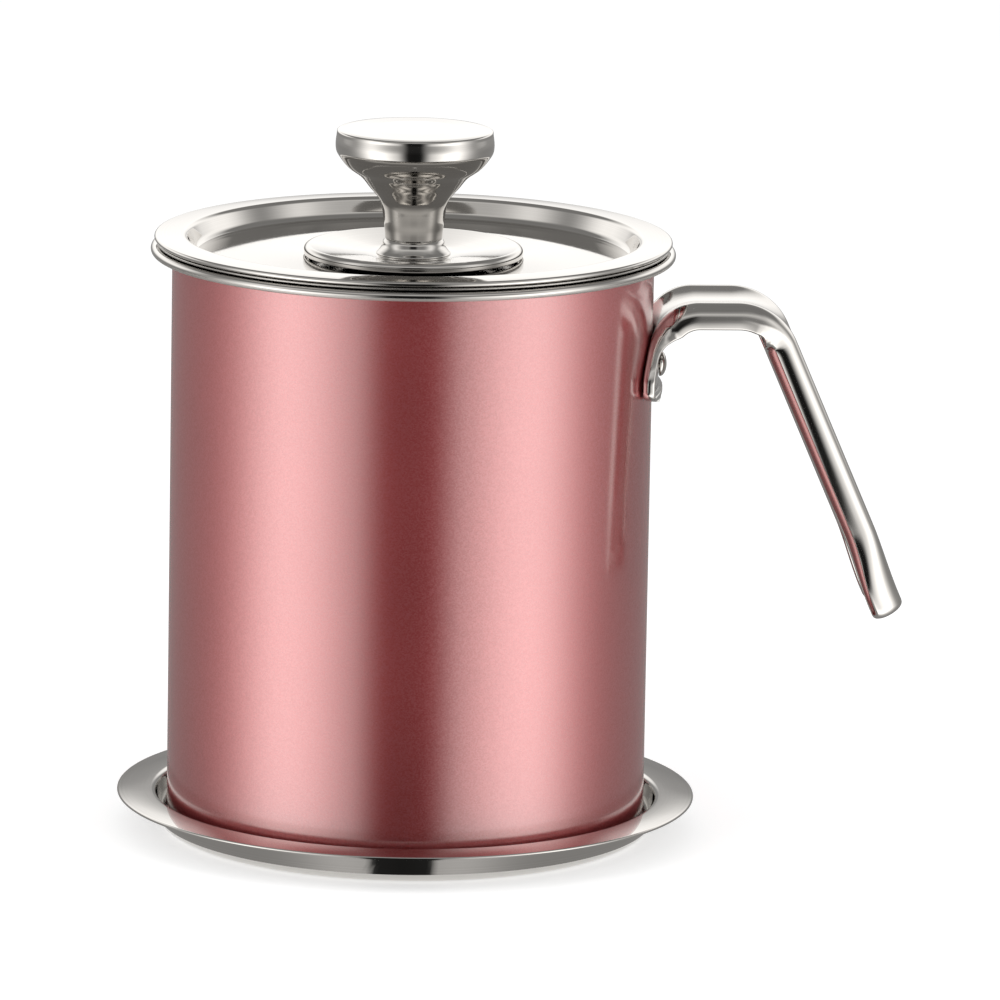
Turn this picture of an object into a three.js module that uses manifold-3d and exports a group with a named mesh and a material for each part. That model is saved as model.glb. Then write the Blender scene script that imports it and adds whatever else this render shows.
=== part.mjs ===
// A lidded grease container for bacon fat: a coated steel pot with a riveted strap handle stands in a
// drip tray, holds a drop-in strainer and is closed by a drawn lid with a cast knob.
// Millimetres, +Z up. The origin is on the pot's axis, in the plane that the tray rests on, and the
// handle points along +X.
import * as THREE from 'three';
import { mergeVertices } from 'three/addons/utils/BufferGeometryUtils.js';
import Module from 'manifold-3d';

const wasm = await Module();
wasm.setup();

// Fits between pieces
const restGap = 0.3; // kept where one piece rests on another or is clenched to it
const holeClearance = 0.3; // around a shank, all round
const strainerClearance = 0.8; // between the pot wall and the strainer wall
const lidClearance = 0.6; // between the strainer wall and the lid's well
const trayClearance = 2.9; // between the pot wall and the mouth of the tray's well
const cutOverrun = 5; // how far a drill runs past what it cuts

// Pot
const potRadius = 57.5;
const potHeight = 141;
const potSheet = 0.8;
const potCornerRadius = 6;
const rimReach = 5.1; // from the wall to the outside of the rolled rim
const rimBeadRadius = 1.1;
const rimBendRadius = 1.3;
const rimCurl = THREE.MathUtils.degToRad(225); // how far the rim turns round its bead

// Drip tray
const trayHeight = 9.1;
const traySheet = 0.8;
const trayBrimWidth = 9.1;
const trayCornerAllowance = 0.7; // how much less the well narrows than the pot is rounded
const trayFootBend = 3;
const trayMouthBend = 1.5;

// Strainer
const strainerRivetClearance = 1.4; // from the rivet's inner head up to the strainer's floor
const strainerSheet = 0.6;
const strainerRimInset = 1.4; // from the outside of the pot's rim to the strainer's flange
const strainerTopBend = 2.5;
const strainerFootBend = 2;
const strainerLedge = 6;
const screenSheet = 0.5;
const screenHoleRadius = 1.5;
const screenPitch = 7.2;
const screenMargin = 2.2; // bare edge inside the ledge
const ringSheet = 0.8;
const ringWidth = 4.2;

// Lid
const lidSheet = 0.6;
const lidInset = 0.8; // from the outside of the pot's rim to the lid's edge
const lidHemWidth = 2;
const lidRingCrown = 0.2;
const lidWellDepth = 4.9;
const lidRingBend = 1;
const lidWellBend = 2.4;
const lidWellDraft = 2; // how much the well narrows towards its floor

// Knob seat, a dished plate under the knob
const seatRadius = 26.2;
const seatHeight = 2.8;
const seatSheet = 0.6;
const seatFlatMargin = 1.8; // from the collar's foot to the corner where the dish starts
const seatDishBend = 20;
const seatRimBend = 1;

// Knob, its collar and the screw that holds them
const collarRadius = 8.9;
const collarHeight = 3.6;
const knobGroove = 0.2;
const knobRadius = 18.95;
const knobHeight = 26.5;
const screwRadius = 2;
const screwEngagement = 10;
const screwTipSpace = 2;
const screwHeadRadius = 3.9;
const screwHeadHeight = 2.4;
const washerRadius = 5.2;
const washerSheet = 0.8;

// Handle, a pressed strap. Its edges are rounded down, and on the grip they curl on towards the hand.
// Each edge has a radius from its crest to its side and another one from its side to its free edge.
const handleSheet = 1.2;
const handleDishRadius = 45;
const handleDrop = 12.75; // from the top of the rim down to the middle of the strap
const handleCornerReach = 28.5; // from the pot wall to the sharp corner over the fingers
const handleRootBend = 10;
const handleCornerBend = 13.7;
const handleGripLength = 79.5;
const handleGripTilt = THREE.MathUtils.degToRad(23.6);
const handleFlareLength = 22;
const handleEndRadius = 1.7;
const tabHeight = 11;
const tabEdge = { halfWidth: 22.7, crest: 2.5, side: 6, curl: THREE.MathUtils.degToRad(8) };
const armEdge = { halfWidth: 15.9, crest: 4.2, side: 8, curl: THREE.MathUtils.degToRad(10) };
const gripEdge = { halfWidth: 14.5, crest: 2.8, side: 5.1, curl: THREE.MathUtils.degToRad(75) };
const tipEdge = { halfWidth: 14.5, crest: 5.2, side: 3, curl: THREE.MathUtils.degToRad(70) };

// Rivet
const rivetRadius = 1.6;
const rivetDrop = 15.35; // below the top of the strap
const rivetDomeRadius = 3.1;
const rivetDomeHeight = 2.2;
const rivetHeadRadius = 3.6;
const rivetHeadHeight = 0.9;

// Roundness of the faceted solids
const wallSides = 36;
const smallSides = 28;
const drillSides = 12;
const bendStep = Math.PI / 4;
const leastBendSteps = 2;
const handleBendStep = Math.PI / 8;
const screenSpokes = 6;
const holeSides = 6;

// Levels along the axis
const potFoot = traySheet + restGap;
const potTop = potFoot + potHeight;
const handleTop = potTop - handleDrop;
const rivetLevel = handleTop - rivetDrop;
const strainerTop = potTop + restGap + strainerSheet;
const strainerFloor = rivetLevel + rivetHeadRadius + strainerRivetClearance;
const lidHemFoot = strainerTop + restGap;
const lidEdgeTop = lidHemFoot + 2 * lidSheet;
const lidFloorTop = lidEdgeTop + lidRingCrown - lidWellDepth;
const seatTop = lidFloorTop + seatSheet;
const collarTop = seatTop + collarHeight;
const knobFoot = collarTop + knobGroove;
const washerTop = lidFloorTop - lidSheet;
const screwHeadTop = washerTop - washerSheet;

// Radii that follow the pot
const potInnerRadius = potRadius - potSheet;
const rimOuterRadius = potRadius + rimReach;
const strainerOuterRadius = potInnerRadius - strainerClearance;
const strainerInnerRadius = strainerOuterRadius - strainerSheet;
const screenRadius = strainerOuterRadius - strainerFootBend - strainerSheet;
const lidWellRadius = strainerInnerRadius - lidClearance;
const lidRadius = rimOuterRadius - lidInset;
const trayMouthRadius = potRadius + trayClearance;
const trayFloorRadius = trayMouthRadius - potCornerRadius + trayCornerAllowance;

// Outlines as shares of the radius and height of their piece, chosen by eye
const knobOutlineShares = [
  [0.30, 0], [0.36, 0.072], [0.384, 0.128], [0.393, 0.211], [0.42, 0.32], [0.496, 0.404],
  [0.565, 0.457], [0.623, 0.513], [0.697, 0.57], [0.813, 0.623], [0.892, 0.679], [0.945, 0.732],
  [0.993, 0.789], [1, 0.85], [0.985, 0.945], [0.95, 0.985], [0, 1],
];
const collarOutlineShares = [
  [1, 0], [1, 0.06], [0.92, 0.3], [0.85, 0.6], [0.83, 0.8], [0.78, 1],
];
// Shares of the tab's half width at both faces of the wall along its lower end
const tabWallShares = [0.85, 0.96];
// Shares of the tab's height above that wall and of its half width
const tabOutlineShares = [[0, 0.96], [0.15, 0.995], [0.34, 1], [0.65, 0.95], [1, 0.86]];
// How far the section has turned into the next one at the stations round each of the two bends
const rootBlendShares = [0.7, 1, 1, 1];
const cornerBlendShares = [0, 0, 0.35, 1];
// Where the web's corners lie across the strap, as shares of its half width between the beads
const webShares = [0.72, 0.4, 0, -0.4, -0.72];
// How far round the strap's closed end its sections stand
const endShares = [0, 0.5, 1];
// Shares of the head's radius and height
const rivetHeadShares = [[0, 1], [0.8, 1], [1, 0]];
const screwHeadShares = [[0, 1], [0.7, 1], [1, 0.5], [1, 0]];
// Shares of the shank's radius, across and back from the tip
const screwTipShares = [[1, 0.3], [0.7, 0], [0, 0]];

const steel = { color: '#cfcdca', roughness: 0.16, metalness: 1 };
const brushedSteel = { color: '#bdbbb8', roughness: 0.34, metalness: 1 };
const rosePaint = { color: '#be7d7e', roughness: 0.3, metalness: 0.6 };

// Corners are [x, y, bend radius]; each bend becomes an arc that is tangent to both its sides.
function bentLine(corners, step = bendStep) {
  return corners.flatMap(([x, y, bend = 0], i) => {
    const corner = new THREE.Vector2(x, y);
    if (bend === 0) return [corner];
    const back = new THREE.Vector2(...corners[i - 1]).sub(corner).normalize();
    const ahead = new THREE.Vector2(...corners[i + 1]).sub(corner).normalize();
    const half = Math.acos(THREE.MathUtils.clamp(back.dot(ahead), -1, 1)) / 2;
    const middle = back.clone().add(ahead).normalize();
    const centre = corner.clone().addScaledVector(middle, bend / Math.sin(half));
    const start = corner.clone().addScaledVector(back, bend / Math.tan(half)).sub(centre);
    const turn = (Math.PI - 2 * half) * Math.sign(ahead.cross(back));
    const steps = Math.max(leastBendSteps, Math.ceil(Math.abs(turn) / step));
    const origin = new THREE.Vector2();
    return Array.from({ length: steps + 1 }, (_, k) =>
      start.clone().rotateAround(origin, (turn * k) / steps).add(centre));
  });
}

// An arc about [x, y] from one angle to another, both ends included.
function arc(x, y, radius, from, to) {
  const steps = Math.max(leastBendSteps, Math.ceil(Math.abs(to - from) / bendStep));
  return Array.from({ length: steps + 1 }, (_, k) => {
    const angle = from + ((to - from) * k) / steps;
    return new THREE.Vector2(x + radius * Math.cos(angle), y + radius * Math.sin(angle));
  });
}

// The line moved sideways; a positive distance moves it to the left of its direction.
function offsetLine(line, distance) {
  return line.map((point, i) => {
    const before = point.clone().sub(line[Math.max(i - 1, 0)]).normalize();
    const after = line[Math.min(i + 1, line.length - 1)].clone().sub(point).normalize();
    const sides = [before, after].filter((side) => side.lengthSq() > 0);
    const normal = sides.reduce((sum, side) => sum.add(new THREE.Vector2(-side.y, side.x)),
      new THREE.Vector2()).normalize();
    const share = sides.length === 2 ? Math.sqrt((1 + before.dot(after)) / 2) : 1;
    return point.clone().addScaledVector(normal, distance / share);
  });
}

// The outline of sheet metal whose middle follows the line, from its outer side round to its inner side.
function sheetOutline(line, thickness) {
  return [...offsetLine(line, -thickness / 2), ...offsetLine(line, thickness / 2).reverse()];
}

// A solid of revolution about Z. The outline runs from the axis to the axis, or closes on itself.
function revolve(outline, sides) {
  const onAxis = outline[0].x === 0;
  const points = onAxis ? outline : [...outline, outline[0]];
  return new THREE.LatheGeometry(points, sides).rotateX(Math.PI / 2);
}

function toManifold(geometry) {
  const bare = geometry.clone().deleteAttribute('normal').deleteAttribute('uv');
  const merged = mergeVertices(bare);
  const index = merged.index.array;
  const triangles = [];
  for (let i = 0; i < index.length; i += 3) {
    const [a, b, c] = index.slice(i, i + 3);
    if (a !== b && b !== c && c !== a) triangles.push(a, b, c);
  }
  return new wasm.Manifold(new wasm.Mesh({
    numProp: 3,
    vertProperties: new Float32Array(merged.attributes.position.array),
    triVerts: new Uint32Array(triangles),
  }));
}

function toGeometry(manifold) {
  const mesh = manifold.getMesh();
  const geometry = new THREE.BufferGeometry();
  geometry.setAttribute('position', new THREE.BufferAttribute(mesh.vertProperties, 3));
  geometry.setIndex(new THREE.BufferAttribute(mesh.triVerts, 1));
  geometry.computeVertexNormals();
  return geometry;
}

function namedMesh(name, geometry, look) {
  const mesh = new THREE.Mesh(geometry, new THREE.MeshStandardMaterial(look));
  mesh.name = name;
  return mesh;
}

// The tray's floor runs out to a flared well wall and a flat brim.
function tray() {
  const middle = traySheet / 2;
  const line = bentLine([
    [0, middle],
    [trayFloorRadius, middle, trayFootBend],
    [trayMouthRadius, trayHeight - middle, trayMouthBend],
    [trayMouthRadius + trayBrimWidth, trayHeight - middle],
  ]);
  return namedMesh('tray', revolve(sheetOutline(line, traySheet), wallSides), steel);
}

// The drill that makes the rivet's holes in the pot wall and in the handle's tab.
function rivetDrill() {
  const length = handleSheet + potSheet + 2 * cutOverrun;
  const drill = new THREE.CylinderGeometry(
    rivetRadius + holeClearance, rivetRadius + holeClearance, length, drillSides);
  drill.rotateZ(Math.PI / 2);
  drill.translate(potRadius, 0, rivetLevel);
  return toManifold(drill);
}

// The pot is one drawing: a flat floor, a rounded corner, a straight wall and a rim rolled outwards.
function potBody() {
  const middle = potSheet / 2;
  const beadBend = rimBeadRadius - middle;
  const beadRadius = rimOuterRadius - rimBeadRadius;
  const beadHeight = potTop - rimBeadRadius;
  const line = [
    ...bentLine([
      [0, potFoot + middle],
      [potRadius - middle, potFoot + middle, potCornerRadius - middle],
      [potRadius - middle, potTop - middle, rimBendRadius],
      [beadRadius, potTop - middle],
    ]),
    ...arc(beadRadius, beadHeight, beadBend, Math.PI / 2, Math.PI / 2 - rimCurl).slice(1),
  ];
  const drawn = toManifold(revolve(sheetOutline(line, potSheet), wallSides));
  return namedMesh('pot_body', toGeometry(drawn.subtract(rivetDrill())), rosePaint);
}

// Sections run across the strap and out of it. The web's upper face is dished across. From its crest each
// edge is rounded down to the strap's side, and from there it curls in to its free edge.
function handleSection({ halfWidth, crest, side, curl }, dishRadius, hollow) {
  const crestPlace = halfWidth - crest;
  const rise = (across) => dishRadius - Math.sqrt(dishRadius ** 2 - across ** 2);
  const level = rise(crestPlace) - crest;
  const edge = (inset) => [
    ...arc(halfWidth - side, level, side - inset, -curl, 0),
    ...arc(crestPlace, level, crest - inset, 0, Math.PI / 2).slice(1),
  ];
  const mirrored = (points) => points.map((p) => new THREE.Vector2(-p.x, p.y)).reverse();
  const web = (drop) => webShares.map((share) =>
    new THREE.Vector2(share * crestPlace, rise(share * crestPlace) - drop));
  const face = (inset) => [...edge(inset), ...web(inset), ...mirrored(edge(inset))];
  const outer = face(0);
  const [first, last] = [outer[0], outer[outer.length - 1]];
  const closing = outer.map((_, i) => {
    const across = THREE.MathUtils.lerp(first.x, last.x, (i + 0.5) / outer.length);
    return new THREE.Vector2(across, first.y + rise(across) - rise(first.x));
  });
  return [...outer, ...(hollow ? face(handleSheet) : closing).reverse()];
}

// An edge part of the way from one to another.
function blendedEdge(from, to, share) {
  return Object.fromEntries(Object.keys(from).map((key) =>
    [key, THREE.MathUtils.lerp(from[key], to[key], share)]));
}

// The strap's middle line in the XZ plane, from the tab's lower end up the wall and out to the grip's end.
function handleStations() {
  const wall = potRadius + restGap;
  const tabFoot = handleTop - handleRootBend - tabHeight;
  const corner = new THREE.Vector2(potRadius + handleCornerReach, handleTop);
  const down = new THREE.Vector2(Math.sin(handleGripTilt), -Math.cos(handleGripTilt));
  const gripPoint = (distance) => corner.clone().addScaledVector(down, distance);
  const onTab = (height, widthShare, options) => ({
    at: new THREE.Vector2(wall, tabFoot + height),
    edge: { ...tabEdge, halfWidth: widthShare * tabEdge.halfWidth },
    dish: wall,
    ...options,
  });
  const tab = [
    ...tabWallShares.map((share, i) => onTab(i * handleSheet, share, { solid: true })),
    ...tabOutlineShares.map(([heightShare, widthShare]) =>
      onTab(THREE.MathUtils.lerp(handleSheet, tabHeight, heightShare), widthShare)),
  ];
  const neck = tab[tab.length - 1].edge;
  const bends = bentLine([
    [wall, tabFoot],
    [wall, handleTop, handleRootBend],
    [corner.x, handleTop, handleCornerBend],
    gripPoint(handleGripLength).toArray(),
  ], handleBendStep).slice(2, -1);
  const root = rootBlendShares.map((share, i) => ({
    at: bends[i],
    edge: blendedEdge(neck, armEdge, share),
    dish: THREE.MathUtils.lerp(wall, handleDishRadius, share),
  }));
  const overFingers = cornerBlendShares.map((share, i) => ({
    at: bends[rootBlendShares.length + i],
    edge: blendedEdge(armEdge, gripEdge, share),
    dish: handleDishRadius,
  }));
  const grip = (distance, edge, options) => ({
    at: gripPoint(distance), edge, dish: handleDishRadius, ...options,
  });
  const inside = handleGripLength - handleSheet - handleEndRadius;
  const rounded = (share) => {
    const angle = (share * Math.PI) / 2;
    const distance = handleGripLength - handleEndRadius * (1 - Math.sin(angle));
    return grip(distance, tipEdge, { solid: true, inset: 1 - Math.cos(angle) });
  };
  const end = [
    grip(handleGripLength - handleFlareLength, gripEdge),
    grip(inside, tipEdge),
    grip(inside, tipEdge, { solid: true }),
    ...endShares.map(rounded),
  ];
  return [...tab, ...root, ...overFingers, ...end];
}

// Each station's section stands square to the strap's middle line and is joined to the next one.
function handleLoft() {
  const stations = handleStations();
  const rings = stations.map((station, i) => {
    const before = stations.slice(0, i).reverse().find((other) => !other.at.equals(station.at));
    const after = stations.slice(i + 1).find((other) => !other.at.equals(station.at));
    const into = before ? station.at.clone().sub(before.at).normalize() : new THREE.Vector2();
    const out = after ? after.at.clone().sub(station.at).normalize() : new THREE.Vector2();
    const ahead = into.add(out).normalize();
    const outward = new THREE.Vector2(-ahead.y, ahead.x);
    const inset = (station.inset ?? 0) * handleEndRadius;
    const { halfWidth, crest, side, curl } = station.edge;
    const depth = crest + side * Math.sin(curl);
    return handleSection(station.edge, station.dish, !station.solid).map((point) => {
      const across = point.x * (1 - inset / halfWidth);
      const away = (point.y + depth / 2) * (1 - (2 * inset) / depth) - depth / 2;
      return [station.at.x + away * outward.x, across, station.at.y + away * outward.y];
    });
  });
  return loft(rings);
}

// Rings of equally many points become a closed skin with both ends capped.
function loft(rings) {
  const count = rings[0].length;
  const positions = rings.flat(2);
  const indices = [];
  for (let r = 0; r < rings.length - 1; r += 1) {
    for (let i = 0; i < count; i += 1) {
      const a = r * count + i;
      const b = r * count + ((i + 1) % count);
      indices.push(a, b, a + count, b, b + count, a + count);
    }
  }
  const lastStart = (rings.length - 1) * count;
  capTriangles(rings[0]).forEach(([a, b, c]) => indices.push(a, c, b));
  capTriangles(rings[rings.length - 1]).forEach(([a, b, c]) =>
    indices.push(lastStart + a, lastStart + b, lastStart + c));
  const geometry = new THREE.BufferGeometry();
  geometry.setAttribute('position', new THREE.Float32BufferAttribute(positions, 3));
  geometry.setIndex(indices);
  return geometry;
}

// A ring lies in a plane that holds the Y axis, so its distance along that plane and Y are its outline.
function capTriangles(ring) {
  const [x0, , z0] = ring[0];
  const far = ring.reduce((best, [x, , z]) =>
    (Math.hypot(x - x0, z - z0) > Math.hypot(best[0] - x0, best[2] - z0) ? [x, 0, z] : best), ring[0]);
  const along = new THREE.Vector2(far[0] - x0, far[2] - z0).normalize();
  const outline = ring.map(([x, y, z]) =>
    new THREE.Vector2((x - x0) * along.x + (z - z0) * along.y, y));
  const flip = THREE.ShapeUtils.isClockWise(outline);
  const faces = THREE.ShapeUtils.triangulateShape(outline, []);
  return flip ? faces.map(([a, b, c]) => [a, c, b]) : faces;
}

function handle() {
  const solid = toManifold(handleLoft());
  return namedMesh('handle', toGeometry(solid.subtract(rivetDrill())), steel);
}

// The rivet's domed head shows outside on the tab, and its flat head lies inside the pot.
function handleRivet() {
  const innerFace = potInnerRadius * Math.cos(Math.PI / wallSides) - restGap;
  const outerFace = potRadius + restGap + handleSheet + restGap;
  const dome = arc(0, 0, 1, 0, Math.PI / 2).map((p) =>
    new THREE.Vector2(p.x * rivetDomeRadius, outerFace + p.y * rivetDomeHeight));
  dome[dome.length - 1].x = 0;
  const outline = [
    ...rivetHeadShares.map(([r, h]) =>
      new THREE.Vector2(r * rivetHeadRadius, innerFace - h * rivetHeadHeight)),
    new THREE.Vector2(rivetRadius, innerFace),
    new THREE.Vector2(rivetRadius, outerFace),
    ...dome,
  ];
  const mesh = namedMesh('handle_rivet', revolve(outline, drillSides), steel);
  mesh.rotation.y = Math.PI / 2;
  mesh.position.z = rivetLevel;
  return mesh;
}

// The strainer's frame hangs on the pot's rim by its flange and ends in a ledge for the screen.
function strainerFrame() {
  const middle = strainerSheet / 2;
  const line = bentLine([
    [strainerInnerRadius - strainerLedge, strainerFloor + middle],
    [strainerOuterRadius - middle, strainerFloor + middle, strainerFootBend],
    [strainerOuterRadius - middle, strainerTop - middle, strainerTopBend],
    [rimOuterRadius - strainerRimInset, strainerTop - middle],
  ]);
  return namedMesh('strainer_frame', revolve(sheetOutline(line, strainerSheet), wallSides), steel);
}

// Rings of punched holes, six more in each ring than in the one inside it.
function screenHolePlaces() {
  const reach = strainerInnerRadius - strainerLedge - screenMargin;
  const rings = Math.floor(reach / screenPitch);
  const places = [new THREE.Vector2(0, 0)];
  for (let ring = 1; ring <= rings; ring += 1) {
    for (let k = 0; k < screenSpokes * ring; k += 1) {
      const angle = (2 * Math.PI * k) / (screenSpokes * ring);
      places.push(new THREE.Vector2(ring * screenPitch, 0).rotateAround(places[0], angle));
    }
  }
  return places;
}

function strainerScreen() {
  const disc = new THREE.Shape().absarc(0, 0, screenRadius, 0, 2 * Math.PI);
  screenHolePlaces().forEach((place) => {
    const hole = new THREE.Path();
    for (let k = 0; k < holeSides; k += 1) {
      const angle = (2 * Math.PI * k) / holeSides;
      const x = place.x + screenHoleRadius * Math.cos(angle);
      const y = place.y + screenHoleRadius * Math.sin(angle);
      if (k === 0) hole.moveTo(x, y);
      else hole.lineTo(x, y);
    }
    hole.closePath();
    disc.holes.push(hole);
  });
  const sheet = new THREE.ExtrudeGeometry(disc, {
    depth: screenSheet, bevelEnabled: false, curveSegments: wallSides,
  });
  const mesh = namedMesh('strainer_screen', sheet, brushedSteel);
  mesh.position.z = strainerFloor + strainerSheet;
  return mesh;
}

function strainerRing() {
  const inner = screenRadius - ringWidth;
  const outline = [[inner, 0], [screenRadius, 0], [screenRadius, ringSheet], [inner, ringSheet]]
    .map(([x, y]) => new THREE.Vector2(x, y));
  const mesh = namedMesh('strainer_ring', revolve(outline, wallSides), steel);
  mesh.position.z = strainerFloor + strainerSheet + screenSheet;
  return mesh;
}

// The lid: a flat well round the screw hole, a steep wall, a crowned ring and an edge hemmed flat.
function lid() {
  const middle = lidSheet / 2;
  const hole = screwRadius + holeClearance;
  const hemFold = lidRadius - lidSheet;
  const line = bentLine([
    [hole, lidFloorTop - middle],
    [lidWellRadius - middle - lidWellDraft, lidFloorTop - middle, lidWellBend],
    [lidWellRadius - middle, lidEdgeTop + lidRingCrown - middle, lidRingBend],
    [hemFold, lidEdgeTop - middle],
  ]);
  const hemInner = lidRadius - lidHemWidth;
  const under = offsetLine(line, -middle).filter((p) => p.x < hemInner);
  const outline = [
    ...under,
    new THREE.Vector2(hemInner, lidEdgeTop - lidSheet),
    new THREE.Vector2(hemInner, lidHemFoot),
    ...arc(hemFold, lidHemFoot + lidSheet, lidSheet, -Math.PI / 2, Math.PI / 2),
    ...offsetLine(line, middle).reverse().slice(1),
  ];
  return namedMesh('lid', revolve(outline, wallSides), steel);
}

// A dished plate that hides the lid's screw hole, with its rim turned down onto the lid's floor.
function knobSeat() {
  const middle = seatSheet / 2;
  const rim = seatRadius - middle;
  const line = bentLine([
    [screwRadius + holeClearance, lidFloorTop + middle],
    [collarRadius + seatFlatMargin, lidFloorTop + middle, seatDishBend],
    [rim, lidFloorTop + seatHeight - middle, seatRimBend],
    [rim, lidFloorTop + restGap],
  ]);
  return namedMesh('knob_seat', revolve(sheetOutline(line, seatSheet), smallSides), steel);
}

function knobCollar() {
  const hole = screwRadius + holeClearance;
  const outline = [
    new THREE.Vector2(hole, 0),
    ...collarOutlineShares.map(([r, h]) => new THREE.Vector2(r * collarRadius, h * collarHeight)),
    new THREE.Vector2(hole, collarHeight),
  ];
  const mesh = namedMesh('knob_collar', revolve(outline, smallSides), steel);
  mesh.position.z = seatTop;
  return mesh;
}

// A turned knob with a waist, a trumpet under its head and a blind hole for the screw.
function knob() {
  const hole = screwRadius + holeClearance;
  const holeDepth = screwEngagement + screwTipSpace;
  const outline = [
    new THREE.Vector2(0, holeDepth),
    new THREE.Vector2(hole, holeDepth),
    new THREE.Vector2(hole, 0),
    ...knobOutlineShares.map(([r, h]) => new THREE.Vector2(r * knobRadius, h * knobHeight)),
  ];
  const mesh = namedMesh('knob', revolve(outline, smallSides), steel);
  mesh.position.z = knobFoot;
  return mesh;
}

function knobScrew() {
  const tip = knobFoot + screwEngagement - screwHeadTop;
  const outline = [
    ...screwHeadShares.map(([r, h]) => new THREE.Vector2(r * screwHeadRadius, -h * screwHeadHeight)),
    new THREE.Vector2(screwRadius, 0),
    ...screwTipShares.map(([r, back]) =>
      new THREE.Vector2(r * screwRadius, tip - back * screwRadius)),
  ];
  const mesh = namedMesh('knob_screw', revolve(outline, drillSides), brushedSteel);
  mesh.position.z = screwHeadTop;
  return mesh;
}

function knobWasher() {
  const hole = screwRadius + holeClearance;
  const outline = [[hole, 0], [washerRadius, 0], [washerRadius, washerSheet], [hole, washerSheet]]
    .map(([x, y]) => new THREE.Vector2(x, y));
  const mesh = namedMesh('knob_washer', revolve(outline, smallSides), brushedSteel);
  mesh.position.z = screwHeadTop;
  return mesh;
}

function groupOf(...pieces) {
  return new THREE.Group().add(...pieces);
}

export default groupOf(
  tray(),
  groupOf(potBody(), handle(), handleRivet()),
  groupOf(strainerFrame(), strainerScreen(), strainerRing()),
  groupOf(lid(), knobSeat(), knobCollar(), knob(), knobScrew(), knobWasher()),
);
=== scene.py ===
import bpy
import numpy as np
from mathutils import Matrix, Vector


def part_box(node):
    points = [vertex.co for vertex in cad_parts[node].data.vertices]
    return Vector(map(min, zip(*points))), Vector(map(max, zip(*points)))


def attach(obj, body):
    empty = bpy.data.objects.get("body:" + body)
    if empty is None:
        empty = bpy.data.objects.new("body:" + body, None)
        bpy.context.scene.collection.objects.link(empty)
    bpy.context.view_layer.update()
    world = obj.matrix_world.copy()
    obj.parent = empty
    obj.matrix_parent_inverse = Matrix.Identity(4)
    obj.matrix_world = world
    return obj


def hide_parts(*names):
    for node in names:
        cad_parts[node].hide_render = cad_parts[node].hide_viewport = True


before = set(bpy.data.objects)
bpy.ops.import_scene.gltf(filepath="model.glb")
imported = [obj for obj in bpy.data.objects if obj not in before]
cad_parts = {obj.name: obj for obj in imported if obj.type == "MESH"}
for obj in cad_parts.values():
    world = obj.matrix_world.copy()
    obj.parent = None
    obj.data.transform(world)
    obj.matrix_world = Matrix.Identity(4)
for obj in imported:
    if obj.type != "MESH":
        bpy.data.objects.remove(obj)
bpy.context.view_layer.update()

bl_info = {
    "name": "Grease Container",
    "version": (1, 0, 0),
    "blender": (4, 5, 0),
    "location": "View3D > Sidebar > Grease Container",
    "description": "Builds a lidded grease container with a strainer, a strap handle and a drip tray",
    "category": "Add Mesh",
}

MM = 0.001
SIDES = 192          # columns round a turned piece
SCREW_SIDES = 96     # and round the screw and its washer
RIVET_SIDES = 64     # and round the rivet
THREAD_DEPTH = 0.43 * MM
BEND_STEP = np.radians(6)
EDGE_STEPS = 6       # steps round the edge of a sheet
FINE_STEP = np.radians(15)
CORNER_STEP = np.radians(30)
WELD = 0.001 * MM    # points nearer than this are one
HOLD = 0.2 * MM      # how far beside a bend a flat face starts to be held flat


# Property helpers

def linear(colour):
    """An sRGB colour such as #c0ffee as linear red, green and blue."""
    values = np.array([int(colour[i:i + 2], 16) for i in (1, 3, 5)]) / 255
    return tuple(np.where(values <= 0.04045, values / 12.92, ((values + 0.055) / 1.055) ** 2.4))


def length(name, description, millimetres):
    return bpy.props.FloatProperty(
        name=name, description=description, default=millimetres * MM, min=0, precision=5,
        subtype="DISTANCE", unit="LENGTH")


def angle(name, description, degrees):
    return bpy.props.FloatProperty(
        name=name, description=description, default=float(np.radians(degrees)), subtype="ANGLE")


def amount(name, description, value):
    return bpy.props.FloatProperty(name=name, description=description, default=value, min=0)


def colour(name, description, value):
    return bpy.props.FloatVectorProperty(
        name=name, description=description, default=linear(value), size=3, min=0, max=1,
        subtype="COLOR")


def reach(node):
    """The node's largest distance from the axis, which its corners on the X axis have."""
    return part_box(node)[1].x


def top(node):
    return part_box(node)[1].z


def foot(node):
    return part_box(node)[0].z


class TraySize(bpy.types.PropertyGroup):
    height: length("Height", "From the worktop to the brim's upper face", top("tray") / MM)
    radius: length("Brim radius", "To the outside of the brim", reach("tray") / MM)
    sheet: length("Sheet", "Thickness of the steel", 0.8)
    mouth: length("Mouth radius", "Where the well's wall meets the brim", 60.6)
    floor: length("Floor radius", "Where wall and floor would meet without their bend", 59.6)
    foot_bend: length("Foot bend", "Bend between floor and wall, at mid sheet", 5)
    mouth_bend: length("Mouth bend", "Bend between wall and brim, at mid sheet", 0.8)


class PotSize(bpy.types.PropertyGroup):
    foot: length("Foot", "Height of the underside above the worktop", foot("pot_body") / MM)
    top: length("Top", "Height of the rolled rim", top("pot_body") / MM)
    rim: length("Rim radius", "To the outside of the rolled rim", reach("pot_body") / MM)
    radius: length("Wall radius", "To the outside of the wall", 57.5)
    sheet: length("Sheet", "Thickness of the steel", 0.8)
    corner: length("Corner radius", "Rounding between floor and wall, outside", 6)
    rim_bend: length("Rim bend", "Bend between wall and rim, at mid sheet", 1.3)
    bead: length("Bead radius", "Radius of the rolled edge, outside", 1.1)
    curl: angle("Curl", "How far the edge is rolled round its bead", 225)


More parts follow.
